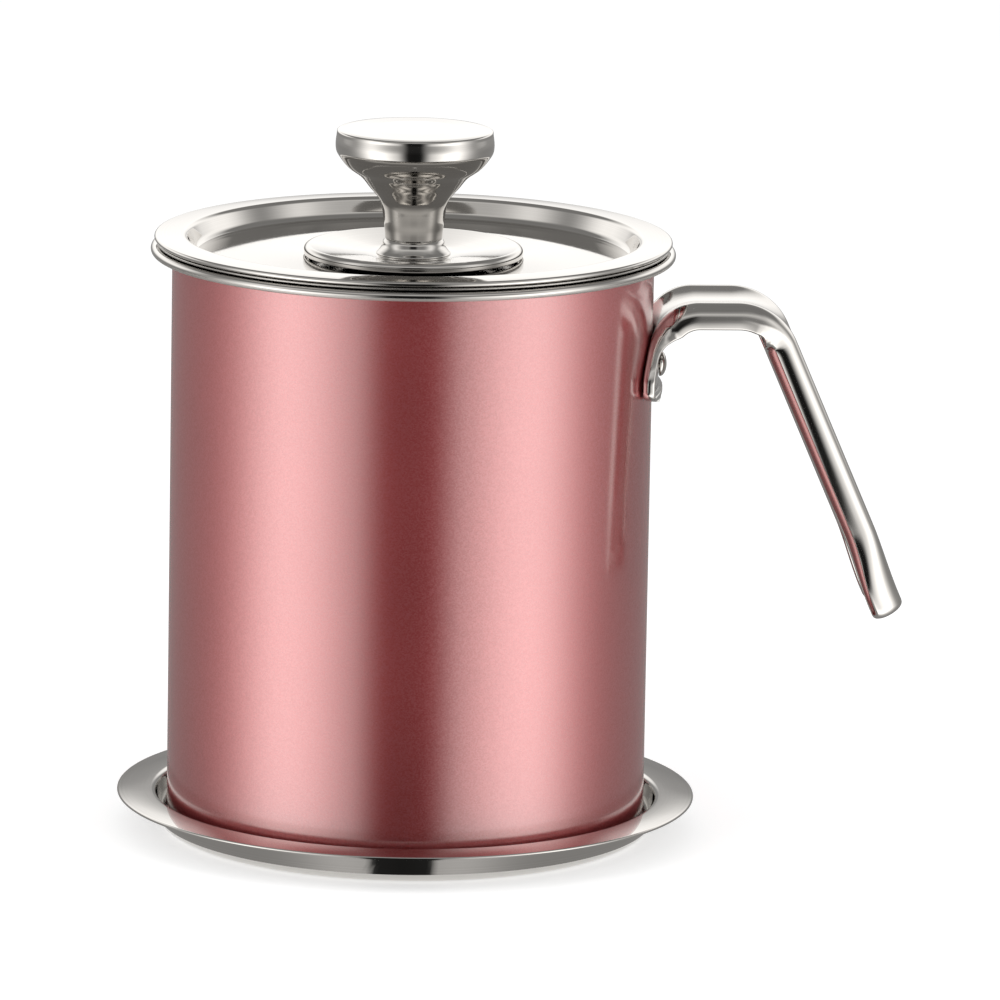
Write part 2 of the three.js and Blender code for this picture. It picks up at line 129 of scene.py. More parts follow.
class StrainerSize(bpy.types.PropertyGroup):
    foot: length("Foot", "Height of the ledge's underside", foot("strainer_frame") / MM)
    top: length("Top", "Height of the flange's upper face", top("strainer_frame") / MM)
    flange: length("Flange radius", "To the edge of the flange", reach("strainer_frame") / MM)
    radius: length("Wall radius", "To the outside of the wall", 55.9)
    sheet: length("Sheet", "Thickness of the steel", 0.6)
    top_bend: length("Top bend", "Bend between wall and flange, at mid sheet", 2.5)
    foot_bend: length("Foot bend", "Bend between wall and ledge, at mid sheet", 2)
    ledge: length("Ledge", "Width of the ledge inside the wall", 6)
    screen: length("Screen radius", "Radius of the perforated disc", reach("strainer_screen") / MM)
    hole: length("Hole radius", "Radius of each punched hole", 1.5)
    pitch: length("Pitch", "Distance between rings of holes", 7.2)
    bare: length("Bare edge", "Unpunched width inside the ledge", 2.2)
    ring: length("Ring width", "Width of the ring that holds the disc down", 4.2)


class LidSize(bpy.types.PropertyGroup):
    foot: length("Foot", "Height of the well's underside", foot("lid") / MM)
    top: length("Top", "Height of the ring's crown", top("lid") / MM)
    radius: length("Edge radius", "To the outside of the hemmed edge", reach("lid") / MM)
    sheet: length("Sheet", "Thickness of the steel", 0.6)
    crown: length("Crown", "How far the ring rises from its edge to the well", 0.2)
    well: length("Well radius", "To the outside of the well's wall, at the ring", 54.7)
    draft: length("Well draft", "How much the well narrows towards its floor", 2)
    well_bend: length("Well bend", "Bend between floor and wall, at mid sheet", 2.4)
    ring_bend: length("Ring bend", "Bend between wall and ring, at mid sheet", 1)
    hem: length("Hem", "Width of the sheet folded back under the edge", 2)


class KnobSize(bpy.types.PropertyGroup):
    seat: length("Seat radius", "To the outside of the dished plate", reach("knob_seat") / MM)
    seat_sheet: length("Seat sheet", "Thickness of the plate's steel", 0.6)
    seat_flat: length("Seat flat", "Radius of the plate's flat middle", 10.7)
    seat_dish: length("Dish bend", "Bend where the dish starts to rise", 20)
    seat_rim: length("Rim bend", "Bend at the plate's edge, at mid sheet", 1)
    collar: length("Collar radius", "Radius of the collar's flared foot", reach("knob_collar") / MM)
    radius: length("Knob radius", "Radius of the knob's head", reach("knob") / MM)
    shank: length("Screw radius", "Radius over the thread", reach("knob_screw") * 0.513 / MM)
    hole: length("Hole radius", "Radius of the holes that the screw goes through", 2.3)
    hole_depth: length("Hole depth", "Depth of the blind hole in the knob", 12)
    pitch: length("Thread pitch", "Rise of the thread in one turn", 0.7)
    head: length("Screw head radius", "Radius of the screw's head", reach("knob_screw") / MM)
    head_height: length("Screw head height", "Height of the screw's head", 2.4)


class HandleSize(bpy.types.PropertyGroup):
    sheet: length("Sheet", "Thickness of the steel", 1.2)
    wall: length("Tab place", "Distance of the tab's inner face from the axis", 57.8)
    top: length("Top", "Height of the strap's middle", 129.35)
    tab: length("Tab height", "Height of the tab below the root bend", 11)
    tab_round: length("Tab rounding", "Rounding of the tab's lower edge", 0.5)
    dish: length("Dish radius", "Radius of the hollow across the strap", 38)
    root_bend: length("Root bend", "Bend over the tab", 10)
    corner: length("Corner", "Distance of the sharp corner over the fingers from the axis", 86)
    corner_bend: length("Corner bend", "Bend over the fingers", 13.7)
    grip: length("Grip", "Length from the sharp corner to the closed end", 79.5)
    tilt: angle("Tilt", "How far the grip leans out from upright", 23.6)
    flare: length("Flare", "Length over which the closed end deepens", 22)
    end: length("End rounding", "Rounding of the closed end", 1.7)


class RivetSize(bpy.types.PropertyGroup):
    level: length("Level", "Height of the rivet's axis", 114)
    inner: length("Inner face", "Distance from the axis to the inner head's foot", 56.19)
    outer: length("Outer face", "Distance from the axis to the dome's foot", 59.3)
    shank: length("Shank radius", "Radius of the rivet's shank", 1.6)
    dome: length("Dome radius", "Radius of the outer head", 3.1)
    dome_height: length("Dome height", "Height of the outer head", 1.8)
    head: length("Head radius", "Radius of the inner head", 3.6)
    head_height: length("Head height", "Height of the inner head", 0.9)


class Finishes(bpy.types.PropertyGroup):
    steel_light: colour("Steel, light", "Lighter tone of polished stainless steel", "#dbd9d6")
    steel_dark: colour("Steel, dark", "Darker tone of polished stainless steel", "#c9c6c2")
    satin_light: colour("Satin, light", "Lighter tone of satin steel", "#cbc9c6")
    satin_dark: colour("Satin, dark", "Darker tone of satin steel", "#b3b0ac")
    zinc_light: colour("Zinc, light", "Lighter tone of plated fasteners", "#cccbc4")
    zinc_dark: colour("Zinc, dark", "Darker tone of plated fasteners", "#aaa9a6")
    rose_pale: colour("Rose, pale", "Tone of the flakes that lie high in the lacquer", "#c76769")
    rose_deep: colour("Rose, deep", "Tone of the flakes that lie deep in the lacquer", "#bd5557")


class Studio(bpy.types.PropertyGroup):
    distance: length("Camera distance", "From the camera to what it looks at", 2223)
    aim_side: length("Aim aside", "Where the camera looks, to the right of the axis", 21.67)
    aim_up: length("Aim up", "Where the camera looks, above the worktop", 80.59)
    azimuth: angle("Camera azimuth", "How far the camera stands towards the side away from the handle", 3.5)
    elevation: angle("Camera elevation", "How far the camera looks down", 11.66)
    roll: angle("Camera roll", "How far the camera leans", 1.0)
    lens: amount("Lens", "Focal length in millimetres on a 36 mm sensor", 333.7)
    lamp_power: amount("Lamp power", "Power of each of the two lamps, in watts", 5)
    ambient: amount("Ambient", "Strength of the room's light on matt surfaces", 0.62)
    tent_peak: amount("Tent peak", "Brightness of the tent's two lit panels", 2.0)
    tent_base: amount("Tent base", "Brightness of the tent between its panels", 0.3)
    tent_backdrop: amount("Tent backdrop", "Brightness of the tent behind the object", 1.4)
    tent_roof: amount("Tent roof", "Brightness of the tent overhead", 0.24)


# Outlines. They are arrays of (distance from the axis, height), or of any other two lengths.

def bent_line(corners, step=BEND_STEP):
    """Corners are (x, y, bend radius). Each bend is an arc tangent to both its sides: its centre lies on
    the corner's bisector at radius / sin(half angle), and it starts at radius / tan(half angle) from the
    corner. Beside each bend stands one more point on the straight, which keeps flat faces flat."""
    points = [np.array(corner[:2]) for corner in corners]
    line = [points[0]]
    for i, corner in enumerate(corners[1:-1], 1):
        bend = corner[2] if len(corner) > 2 else 0
        if bend == 0:
            line.append(points[i])
            continue
        back = points[i - 1] - points[i]
        ahead = points[i + 1] - points[i]
        back, ahead = back / np.hypot(*back), ahead / np.hypot(*ahead)
        half = np.arccos(np.clip(back @ ahead, -1, 1)) / 2
        middle = (back + ahead) / np.hypot(*(back + ahead))
        centre = points[i] + middle * bend / np.sin(half)
        start = points[i] + back * bend / np.tan(half)
        turn = (np.pi - 2 * half) * np.sign(ahead[0] * back[1] - ahead[1] * back[0])
        spokes = turn * np.linspace(0, 1, max(3, int(np.ceil(abs(turn) / step))) + 1)
        arm = start - centre
        arc = centre + np.stack([arm[0] * np.cos(spokes) - arm[1] * np.sin(spokes),
                                 arm[0] * np.sin(spokes) + arm[1] * np.cos(spokes)], 1)
        line += [start + back * HOLD, *arc, arc[-1] + ahead * HOLD]
    line.append(points[-1])
    return np.array(line)


def arc_points(centre, radius, start, end, step=BEND_STEP):
    """Points at centre + radius (cos a, sin a) for angles a from start to end."""
    angles = np.linspace(start, end, max(3, int(np.ceil(abs(end - start) / step))) + 1)
    return np.asarray(centre) + radius * np.stack([np.cos(angles), np.sin(angles)], 1)


def sideways(line, distance):
    """The line moved to the left of its direction by a distance: each point moves along the mean of its
    neighbours' normals, by distance / cos(half the angle between them)."""
    sides = np.diff(line, axis=0)
    sides /= np.hypot(*sides.T)[:, None]
    before, after = np.vstack([sides[:1], sides]), np.vstack([sides, sides[-1:]])
    normal = np.stack([-(before + after)[:, 1], (before + after)[:, 0]], 1)
    normal /= np.hypot(*normal.T)[:, None]
    cosine = np.sqrt((1 + (before * after).sum(1)) / 2)
    return line + normal * (distance / cosine)[:, None]


def round_end(line, thickness):
    """The half circle that closes a sheet's edge past the line's last point, from its right to its left."""
    ahead = line[-1] - line[-2]
    heading = np.arctan2(ahead[1], ahead[0])
    return arc_points(line[-1], thickness / 2, heading - np.pi / 2, heading + np.pi / 2,
                      np.pi / EDGE_STEPS)[1:-1]


def sheet_outline(line, thickness):
    """The outline of sheet metal whose middle follows the line: its right side out, a rounded edge, its
    left side back, and a rounded edge at the start too unless that lies on the axis."""
    right, left = sideways(line, -thickness / 2), sideways(line, thickness / 2)
    outline = [right, round_end(line, thickness), left[::-1]]
    if line[0][0] > 0:
        outline.append(round_end(line[::-1], thickness))
    return np.vstack(outline)


def rounded_band(inner, outer, low, high, edge):
    """The outline of a flat ring between two radii and two heights, with its four edges rounded."""
    centres = [(inner + edge, low + edge), (outer - edge, low + edge),
               (outer - edge, high - edge), (inner + edge, high - edge)]
    starts = np.pi * np.array([1, 1.5, 2, 2.5])
    return np.vstack([arc_points(centre, edge, start, start + np.pi / 2, CORNER_STEP)
                      for centre, start in zip(centres, starts)])


def smooth_through(x, y, at):
    """A monotone cubic through the points (x, y), read at other places: the slope at a point is the
    harmonic mean of the slopes beside it, and zero where they turn."""
    x, y, at = np.asarray(x, float), np.asarray(y, float), np.asarray(at, float)
    step = np.diff(x)
    slope = np.diff(y) / step
    same = slope[:-1] * slope[1:] > 0
    inner = np.zeros(len(slope) - 1)
    inner[same] = 2 * slope[:-1][same] * slope[1:][same] / (slope[:-1] + slope[1:])[same]
    tangent = np.concatenate([slope[:1], inner, slope[-1:]])
    i = np.clip(np.searchsorted(x, at, side="right") - 1, 0, len(step) - 1)
    t = (at - x[i]) / step[i]
    return ((1 + 2 * t) * (1 - t) ** 2 * y[i] + t * (1 - t) ** 2 * step[i] * tangent[i]
            + t ** 2 * (3 - 2 * t) * y[i + 1] + t ** 2 * (t - 1) * step[i] * tangent[i + 1])


def blurred(values, width):
    """The values averaged over a moving window of that many, twice, with both ends kept."""
    window = np.ones(width) / width
    for _ in range(2):
        padded = np.concatenate([2 * values[0] - values[width // 2:0:-1], values,
                                 2 * values[-1] - values[-2:-2 - width // 2:-1]])
        values = np.convolve(padded, window, "valid")
    return values


def ease(values, start, end):
    """0 before start, 1 after end, and 3 t^2 - 2 t^3 between them."""
    t = np.clip((np.asarray(values, float) - start) / (end - start), 0, 1)
    return t * t * (3 - 2 * t)


# Meshes

def grid_faces(rows, columns, closed):
    """The faces of a grid whose columns go round, and whose last row meets its first where it is closed."""
    row = np.arange(rows if closed else rows - 1)[:, None]
    column = np.arange(columns)[None, :]
    ahead, beside = (row + 1) % rows, (column + 1) % columns
    corners = [row * columns + column, row * columns + beside,
               ahead * columns + beside, ahead * columns + column]
    return np.stack(np.broadcast_arrays(*corners), -1).reshape(-1, 4)


def end_fans(rows, columns):
    """Triangles that close a grid's first and last rows, each round one more point added after the grid."""
    k = np.arange(columns)
    after, last, first_middle = (k + 1) % columns, (rows - 1) * columns, np.full(columns, rows * columns)
    return [*np.stack([first_middle, after, k], 1).tolist(),
            *np.stack([first_middle + 1, last + k, last + after], 1).tolist()]


def ring_points(radius, height, t):
    """Rows of points x = r cos t, y = r sin t, z = h, with a column for each t."""
    return np.stack(np.broadcast_arrays(radius * np.cos(t), radius * np.sin(t), height), -1)


def linked(name, content):
    made = bpy.data.objects.new(name, content)
    bpy.context.scene.collection.objects.link(made)
    return made


def coordinates(mesh):
    points = np.empty(len(mesh.vertices) * 3)
    mesh.vertices.foreach_get("co", points)
    return points.reshape(-1, 3)


def new_object(name, points, faces):
    mesh = bpy.data.meshes.new(name)
    mesh.from_pydata(points.tolist(), [], [tuple(face) for face in faces])
    mesh.polygons.foreach_set("use_smooth", np.ones(len(mesh.polygons), bool))
    mesh.validate()
    mesh.update()
    return linked(name, mesh)


def turned(name, outline, sides=SIDES):
    """A surface of revolution: x = r cos t, y = r sin t, z = h, for the outline's (r, h) and t once round.
    An outline that starts on the axis also ends there, and each of those ends is one point. Its
    direction is anticlockwise, so the faces point outwards."""
    outline = np.asarray(outline)
    on_axis = outline[0][0] < MM * 1e-6
    rings = outline[1:-1] if on_axis else outline
    t = np.arange(sides) * 2 * np.pi / sides
    points = ring_points(rings[:, :1], rings[:, 1:], t).reshape(-1, 3)
    faces = grid_faces(len(rings), sides, not on_axis).tolist()
    if on_axis:
        points = np.vstack([points, [0, 0, outline[0][1]], [0, 0, outline[-1][1]]])
        faces += end_fans(len(rings), sides)
    return new_object(name, points, faces)


def placed(place, right, up):
    """The matrix of a camera or lamp at a place, with its right and up directions; it looks along
    up x right."""
    matrix = np.eye(4)
    matrix[:3, :3] = np.stack([right, up, np.cross(right, up)], 1)
    matrix[:3, 3] = place
    return Matrix(matrix.tolist())


def piece(made, body, slot, materials, *nodes):
    """Gives a finished object its materials and its body, and hides the imported nodes that it stands for.
    The slot is not used.
    """
    for material in materials:
        made.data.materials.append(material)
    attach(made, body)
    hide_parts(*nodes)
    return made


# Materials

def add(tree, kind, links=None, values=None, **settings):
    """Adds a node with its settings, the values of its sockets and the outputs linked to its sockets."""
    made = tree.nodes.new("ShaderNode" + kind)
    for name, value in settings.items():
        setattr(made, name, value)
    for socket, value in (values or {}).items():
        made.inputs[socket].default_value = value
    for socket, output in (links or {}).items():
        tree.links.new(output, made.inputs[socket])
    return made


def new_material(name):
    """A material with an empty tree and its output node, or the one of that name made before."""
    material = bpy.data.materials.get(name)
    if material:
        return material, None
    material = bpy.data.materials.new(name)
    material.use_nodes = True
    material.node_tree.nodes.clear()
    return material, material.node_tree


def noise(tree, place, spacing, detail):
    """Cloudy noise with spots that far apart."""
    return add(tree, "TexNoise", {"Vector": place}, {"Scale": 1 / spacing, "Detail": detail}).outputs["Fac"]


def between(tree, value, low, high):
    """Takes the middle part of a noise's range, 0.3 to 0.7, to low to high."""
    return add(tree, "MapRange", {"Value": value},
               {"From Min": 0.3, "From Max": 0.7, "To Min": low, "To Max": high}).outputs[0]


def toned(tree, factor, dark, light):
    tone = add(tree, "Mix", {"Factor": factor}, data_type="RGBA")
    tone.inputs["A"].default_value = (*dark, 1)
    tone.inputs["B"].default_value = (*light, 1)
    return tone.outputs["Result"]


def vectors(tree, operation, links, values=None):
    return add(tree, "VectorMath", links, values, operation=operation).outputs[0]


def steel(name, light, dark, roughness, line, line_height, round_axis):
    """Stainless steel. Its lines run round the axis where it was polished in a lathe, and along the strap
    where it was polished on a belt; its tone and its gloss drift slowly, as rolled sheet does."""
    material, tree = new_material(name)
    if tree is None:
        return material
    place = add(tree, "TexCoord").outputs["Object"]
    if round_axis:
        split = add(tree, "SeparateXYZ", {"Vector": place})
        flat = add(tree, "CombineXYZ", {"X": split.outputs["X"], "Y": split.outputs["Y"]})
        radius = add(tree, "VectorMath", {0: flat.outputs[0]}, operation="LENGTH").outputs["Value"]
        profile = add(tree, "CombineXYZ", {"X": radius, "Y": split.outputs["Z"]}).outputs[0]
        across = vectors(tree, "MULTIPLY", {0: profile}, {1: (1 / line, 1 / line, 0)})
    else:
        drawn_out = 60 * line
        across = vectors(tree, "MULTIPLY", {0: place}, {1: (1 / drawn_out, 1 / line, 1 / drawn_out)})
    lines = add(tree, "TexNoise", {"Vector": across},
                {"Scale": 1.0, "Detail": 3.0, "Roughness": 0.6}).outputs["Fac"]
    slow = add(tree, "Bump", {"Height": noise(tree, place, 9 * MM, 1.0)},
               {"Strength": 1.0, "Distance": 0.006 * MM})
    fine = add(tree, "Bump", {"Height": lines, "Normal": slow.outputs[0]},
               {"Strength": 1.0, "Distance": line_height})
    shader = add(tree, "BsdfPrincipled",
                 {"Base Color": toned(tree, lines, dark, light),
                  "Roughness": between(tree, noise(tree, place, 24 * MM, 2.0), *roughness),
                  "Normal": fine.outputs[0]}, {"Metallic": 1.0})
    add(tree, "OutputMaterial", {"Surface": shader.outputs[0]})
    return material


def polished(name, tone, *settings):
    """Steel in the light and the dark tone of that name, with the settings that steel() takes."""
    tones = bpy.context.scene.container_finishes
    return steel(name, getattr(tones, tone + "_light"), getattr(tones, tone + "_dark"), *settings)


def mirror_steel():
    """Grade 304 stainless sheet, drawn and then buffed to a mirror: it shows its surroundings almost
    sharply, with faint rings from the mop. The rings are drawn 0.3 mm apart, coarser than the real grit."""
    return polished("Buffed stainless steel", "steel", (0.035, 0.07), 0.3 * MM, 0.0002 * MM, True)


def belt_polished_steel():
    """Grade 304 stainless strip, pressed and polished on a belt: sharp reflections, drawn out a little
    along the strap by the belt's lines."""
    return polished("Belt-polished stainless steel", "steel", (0.06, 0.11), 0.3 * MM, 0.0006 * MM, False)


def satin_steel():
    """Stainless sheet left satin after a fine belt: soft reflections and visible rings."""
    return polished("Satin stainless steel", "satin", (0.2, 0.3), 0.25 * MM, 0.002 * MM, True)


def drawn_steel():
    """Stainless sheet dulled by the drawing press and a coarse belt: its reflections are broad and dim."""
    return polished("Drawn stainless steel", "satin", (0.46, 0.54), 0.4 * MM, 0.003 * MM, True)


def zinc_steel():
    """Zinc-plated fastener steel: a bright, slightly cloudy metal."""
    return polished("Zinc-plated steel", "zinc", (0.24, 0.36), 0.2 * MM, 0.001 * MM, True)


def rose_lacquer():
    """Metallic stoving lacquer, sprayed: fine aluminium and pearl flakes in a rose tint. The aluminium
    lies a little unevenly, which makes broad soft tinted highlights. The pearl, mica coated in titanium
    dioxide of index 2.6, lies flat near the surface and adds a sharper white sheen, so it is the coat.
    Real flakes are 0.03 mm; they are drawn 0.3 mm wide, the least that shows."""
    material, tree = new_material("Rose metallic lacquer")
    if tree is None:
        return material
    tones = bpy.context.scene.container_finishes
    place = add(tree, "TexCoord").outputs["Object"]
    flakes = add(tree, "TexVoronoi", {"Vector": place}, {"Scale": 1 / (0.3 * MM)}).outputs["Color"]
    depth = add(tree, "SeparateColor", {"Color": flakes}).outputs["Red"]
    centred = vectors(tree, "SUBTRACT", {0: flakes}, {1: (0.5, 0.5, 0.5)})
    lean = vectors(tree, "SCALE", {0: centred}, {"Scale": 0.07})
    upright = add(tree, "NewGeometry").outputs["Normal"]
    facing = vectors(tree, "NORMALIZE", {0: vectors(tree, "ADD", {0: upright, 1: lean})})
    skin = add(tree, "Bump", {"Height": noise(tree, place, 1.6 * MM, 1.0)},
               {"Strength": 1.0, "Distance": 0.002 * MM})
    shader = add(tree, "BsdfPrincipled",
                 {"Base Color": toned(tree, depth, tones.rose_deep, tones.rose_pale),
                  "Roughness": between(tree, noise(tree, place, 30 * MM, 2.0), 0.49, 0.52),
                  "Normal": facing, "Coat Normal": skin.outputs[0]},
                 {"Metallic": 1.0, "Coat Weight": 1.0, "Coat Roughness": 0.14, "Coat IOR": 2.6})
    add(tree, "OutputMaterial", {"Surface": shader.outputs[0]})
    return material


# Operators

class AddTray(bpy.types.Operator):
    """Adds the drip tray: a flat floor, a wall with a wide bend at its foot and a flat brim"""
    bl_idname = "grease_container.add_tray"
    bl_label = "Add Drip Tray"

    def execute(self, context):
        size = context.scene.container_tray
        middle = size.sheet / 2
        line = bent_line([
            (0, middle),
            (size.floor, middle, size.foot_bend),
            (size.mouth, size.height - middle, size.mouth_bend),
            (size.radius - middle, size.height - middle),
        ])
        made = turned("drip_tray", sheet_outline(line, size.sheet))
        piece(made, "tray", "polished_steel", [mirror_steel()], "tray")
        return {"FINISHED"}


class AddPot(bpy.types.Operator):
    """Adds the pot: one drawn shell with a rolled rim, lacquered outside up to the rim and bare within"""
    bl_idname = "grease_container.add_pot"
    bl_label = "Add Pot"

    def execute(self, context):
        size = context.scene.container_pot
        middle = size.sheet / 2
        bead = (size.rim - size.bead, size.top - size.bead)
        wall = bent_line([
            (0, size.foot + middle),
            (size.radius - middle, size.foot + middle, size.corner - middle),
            (size.radius - middle, size.top - middle, size.rim_bend),
            (bead[0], size.top - middle),
        ])
        roll = arc_points(bead, size.bead - middle, np.pi / 2, np.pi / 2 - size.curl)
        outline = sheet_outline(np.vstack([wall, roll[1:]]), size.sheet)
        made = turned("pot_shell", outline)
        # The lacquer ends where the wall starts to bend out into the rim
        ends = np.argmax(outline[:, 1] > size.top - middle - size.rim_bend - HOLD)
        lacquered = np.arange(len(made.data.polygons)) < (ends - 1) * SIDES
        lacquered[-2 * SIDES:-SIDES] = True
        # The rim is a mirror, and the inside below it is dull
        centres = np.empty(3 * len(lacquered))
        made.data.polygons.foreach_get("center", centres)
        inside = ~lacquered & (centres[2::3] < size.top - size.rim_bend)
        made.data.polygons.foreach_set("material_index", np.select([lacquered, inside], [0, 2], 1))
        piece(made, "pot", "rose_coating", [rose_lacquer(), mirror_steel(), drawn_steel()], "pot_body")
        return {"FINISHED"}


# Half the strap's width by distance up from the tab's lower end, in millimetres
TAB_WIDTHS = np.array([
    (0, 20), (0.6, 21.4), (1.2, 22.4), (2.7, 23.1), (4.6, 23.1), (7.6, 22), (10.7, 19.8), (13, 18),
    (15.6, 16.5), (18.5, 15.9), (30, 15.9),
]) * MM
# The strap's edges by zone: half width, crest radius, side radius and how far the side curls in
TAB_EDGE = (23.1 * MM, 1.7 * MM, 5 * MM, np.radians(8))
ARM_EDGE = (15.9 * MM, 4.2 * MM, 8 * MM, np.radians(10))
GRIP_EDGE = (14.5 * MM, 2.8 * MM, 5.1 * MM, np.radians(75))
TIP_EDGE = (14.5 * MM, 5.2 * MM, 3 * MM, np.radians(70))
# Steps along a section: down its side, over its crest and across its web
FLANK = np.linspace(1, 0, 13)[:-1]
CROWN = np.linspace(0, 1, 19)
WEB = np.linspace(1, -1, 25)[1:-1]


def strap_sections(edges, dish, sheet, solid):
    """One section for each row, as complex numbers across + i out, in one loop. The web is an arc of the
    dish radius about i times that radius. It runs over each edge on a crest arc that touches it from
    outside, and down on a side arc that goes on past square by the curl. The inner side is the same with
    each radius changed by the sheet, and half circles round the free edges. A solid section has a flat
    parabola from edge to edge in place of its inner side."""
    half, crest, side, curl = edges
    lean = np.arcsin((half - crest) / (dish + crest))
    level = dish - (dish + crest) * np.cos(lean)
    crest_centre, side_centre = half - crest + 1j * level, half - side + 1j * level

    def face(drawn_in):
        flank = side_centre + (side - drawn_in) * np.exp(-1j * curl * FLANK)
        crown = crest_centre + (crest - drawn_in) * np.exp(1j * (np.pi / 2 + lean) * CROWN)
        web = 1j * dish - 1j * (dish + drawn_in) * np.exp(1j * lean * WEB)
        edge = np.hstack([flank, crown])
        return np.hstack([edge, web, -edge[:, ::-1].conj()])

    spoke = np.exp(-1j * curl)
    turn = np.exp(-1j * np.linspace(np.pi, 0, EDGE_STEPS + 1)[1:-1])
    edge = side_centre + (side - sheet / 2) * spoke + sheet / 2 * spoke * turn
    outer, inner = face(0), face(sheet)[:, ::-1]
    back = np.hstack([-edge[:, ::-1].conj(), inner, edge])
    shares = (np.arange(back.shape[1]) + 0.5) / back.shape[1]
    across = outer[:, -1:].real * (1 - 2 * shares)
    edge_level = outer[:, :1].imag
    hollow = np.minimum(dish - np.sqrt(dish ** 2 - outer[:, :1].real ** 2), edge_level + sheet + MM)
    closing = across + 1j * (edge_level - hollow * (1 - (2 * shares - 1) ** 2))
    return np.hstack([outer, np.where(solid, closing, back)])


class AddHandle(bpy.types.Operator):
    """Adds the strap handle: one section carried up the tab, over the fingers and down the grip"""
    bl_idname = "grease_container.add_handle"
    bl_label = "Add Handle"

    def execute(self, context):
        size = context.scene.container_handle
        points = self.surface(size)
        count, columns = points.shape[:2]
        # Each closed end is a fan about its middle
        points = np.vstack([points.reshape(-1, 3), points[0].mean(0), points[-1].mean(0)])
        made = new_object("strap_handle", points,
                          grid_faces(count, columns, False).tolist() + end_fans(count, columns))
        made.modifiers.new("Weld", "WELD").merge_threshold = WELD
        piece(made, "pot", "polished_steel", [belt_polished_steel()], "handle")
        return {"FINISHED"}

    def surface(self, size):
        """Rows of points: at each distance along the strap's middle line stands a section square to it.
        Towards both closed ends a section shrinks about its middle by r (1 - cos a) while it moves on by
        r sin a, which rounds the end by r."""
        tab_foot = size.top - size.root_bend - size.tab
        corner = np.array([size.corner, size.top])
        tip = corner + size.grip * np.array([np.sin(size.tilt), -np.cos(size.tilt)])
        line = bent_line([
            (size.wall, tab_foot),
            (size.wall, size.top, size.root_bend),
            (*corner, size.corner_bend),
            tuple(tip),
        ], np.radians(2))
        travel = np.concatenate([[0], np.cumsum(np.hypot(*np.diff(line, axis=0).T))])
        whole = travel[-1]
        root_end = size.tab + size.root_bend * np.pi / 2
        turn = size.corner_bend * (np.pi / 2 - size.tilt)
        over_start = whole - size.grip + size.corner_bend * np.tan((np.pi / 2 - size.tilt) / 2) - turn

        # Where the sections stand, which of them are solid and how far each has shrunk
        rounds = np.linspace(0, np.pi / 2, 7)
        inside = whole - size.sheet - size.end
        middle = np.concatenate([
            np.arange(size.sheet + 0.2 * MM, root_end, 0.4 * MM),
            np.arange(root_end, over_start, 0.8 * MM),
            np.arange(over_start, over_start + turn, 0.35 * MM),
            np.arange(over_start + turn, inside - 0.3 * MM, 0.9 * MM),
        ])
        at = np.concatenate([size.tab_round * (1 - np.sin(rounds[::-1])) , [size.sheet] * 2, middle,
                             [inside] * 2, whole - size.end * (1 - np.sin(rounds))])
        solid = np.ones(len(at), bool)
        solid[len(rounds) + 1:-len(rounds) - 1] = False
        shrink = np.zeros(len(at))
        shrink[:len(rounds)] = size.tab_round * (1 - np.cos(rounds[::-1]))
        shrink[-len(rounds):] = size.end * (1 - np.cos(rounds))

        # The tab's edge becomes the arm's over the root bend, the grip's over the corner and then the tip's
        on_arm = ease(at, size.tab - MM, size.tab + 8 * MM)
        on_grip = ease((at - over_start) / turn, 0.35, 1.05)
        on_tip = ease(at, whole - size.flare, inside)
        edges = []
        for tab, arm, grip, end in zip(TAB_EDGE, ARM_EDGE, GRIP_EDGE, TIP_EDGE):
            edges.append(tab + (arm - tab) * on_arm + (grip - arm) * on_grip + (end - grip) * on_tip)
        edges[0] += np.where(at < root_end, smooth_through(*TAB_WIDTHS.T, at) - edges[0], 0)
        edges[3] -= (GRIP_EDGE[3] - ARM_EDGE[3]) * (on_grip - on_grip ** 2)
        dish = size.wall + (size.dish - size.wall) * on_arm
        edges, dish = [edge[:, None] for edge in edges], dish[:, None]

        sections = strap_sections(edges, dish, size.sheet, solid[:, None])
        half, crest, side, curl = edges
        depth = crest + side * np.sin(curl)
        shrink = shrink[:, None]
        across = sections.real * (1 - shrink / half)
        out = (sections.imag + depth / 2) * (1 - 2 * shrink / depth) - depth / 2
        # The place and the heading at each distance, read from a finely divided line
        dense = np.linspace(0, whole, 4000)
        path = np.stack([np.interp(dense, travel, line[:, k]) for k in (0, 1)], 1)
        heading = np.gradient(path, axis=0)
        heading /= np.hypot(*heading.T)[:, None]
        x, z = (np.interp(at, dense, path[:, k])[:, None] for k in (0, 1))
        ahead_x, ahead_z = (np.interp(at, dense, heading[:, k])[:, None] for k in (0, 1))
        return np.stack([x - out * ahead_z, across, z + out * ahead_x], -1)


